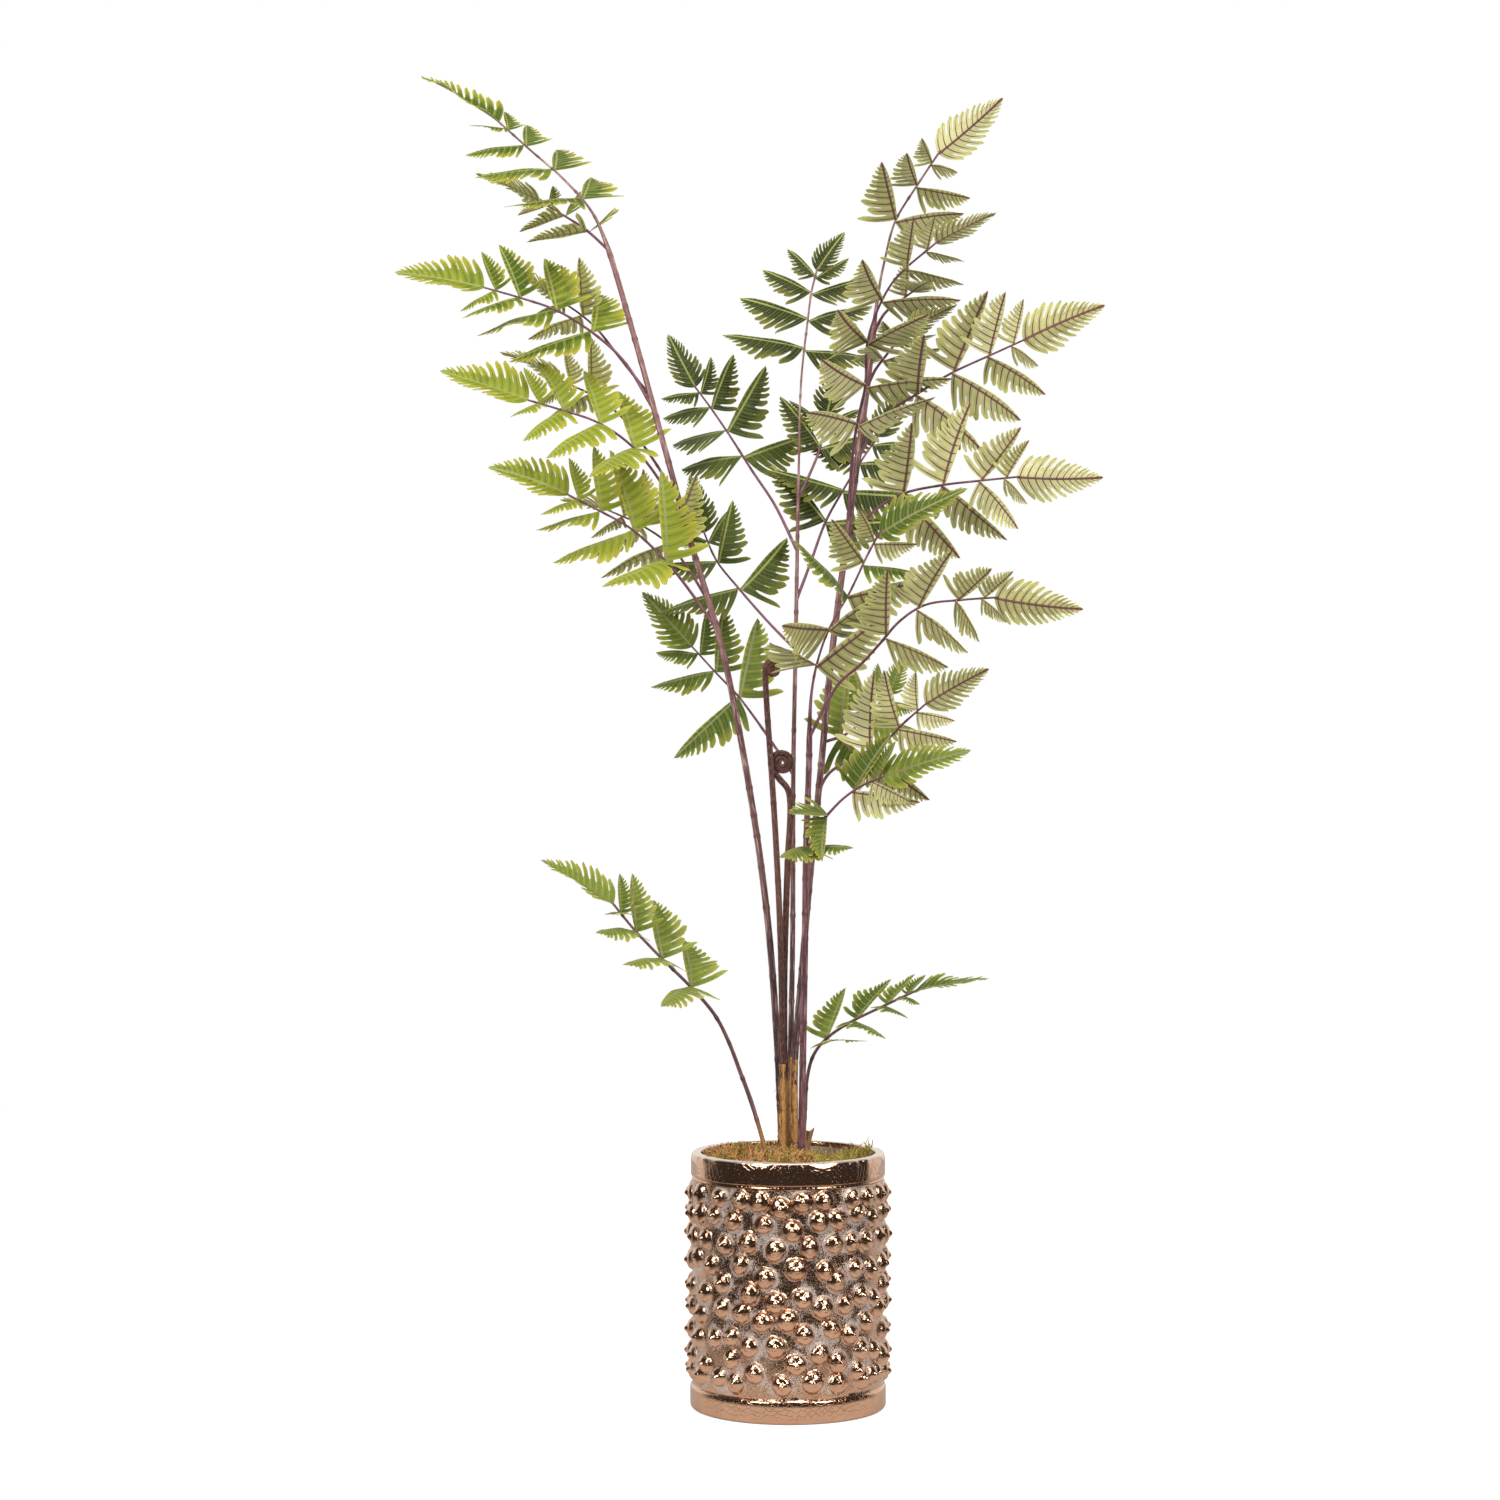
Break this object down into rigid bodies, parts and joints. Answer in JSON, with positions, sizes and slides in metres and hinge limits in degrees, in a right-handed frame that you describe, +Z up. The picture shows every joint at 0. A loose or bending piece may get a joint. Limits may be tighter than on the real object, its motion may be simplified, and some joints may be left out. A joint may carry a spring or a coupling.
{
  "type": "potted fern",
  "caption": "Tall artificial fern with cut, two-tone fronds and coiled young fronds on slim stems, in a round studded pot with a copper-coloured glaze.",
  "frame": {"origin": "centre of the pot's flat base, on the surface it stands on", "axes": "+Z up along the pot's axis, the pictured side faces -Y, +X to the viewer's right"},
  "size_m": [0.8131, 0.4486, 1.568],
  "materials": {
    "pot": "copper-coloured metallic glaze, pale and dull between the studs, crackled on the rim",
    "filler": "cast, dull",
    "moss": "loose dried tufts",
    "frond_left": "moulded leaf, satin top and paler underside, purple-brown stems",
    "frond_back": "moulded leaf, satin top and paler underside, purple-brown stems",
    "frond_right": "moulded leaf, satin top and paler underside, purple-brown stems",
    "frond_front": "moulded leaf, satin top and paler underside, purple-brown stems",
    "frond_low_left": "moulded leaf, satin top and paler underside, purple-brown stems",
    "frond_low_right": "moulded leaf, satin top and paler underside, purple-brown stems",
    "fiddlehead_tall": "flocked, dull",
    "fiddlehead_short": "flocked, dull",
    "stub": "rough cut"
  },
  "bodies": {
    "root": {"pot": "pot", "filler": "filler", "moss": "moss", "frond_left": "frond_left", "frond_back": "frond_back", "frond_right": "frond_right", "frond_front": "frond_front", "frond_low_left": "frond_low_left", "frond_low_right": "frond_low_right", "fiddlehead_tall": "fiddlehead_tall", "fiddlehead_short": "fiddlehead_short", "stub": "stub"}
  },
  "joints": []
}
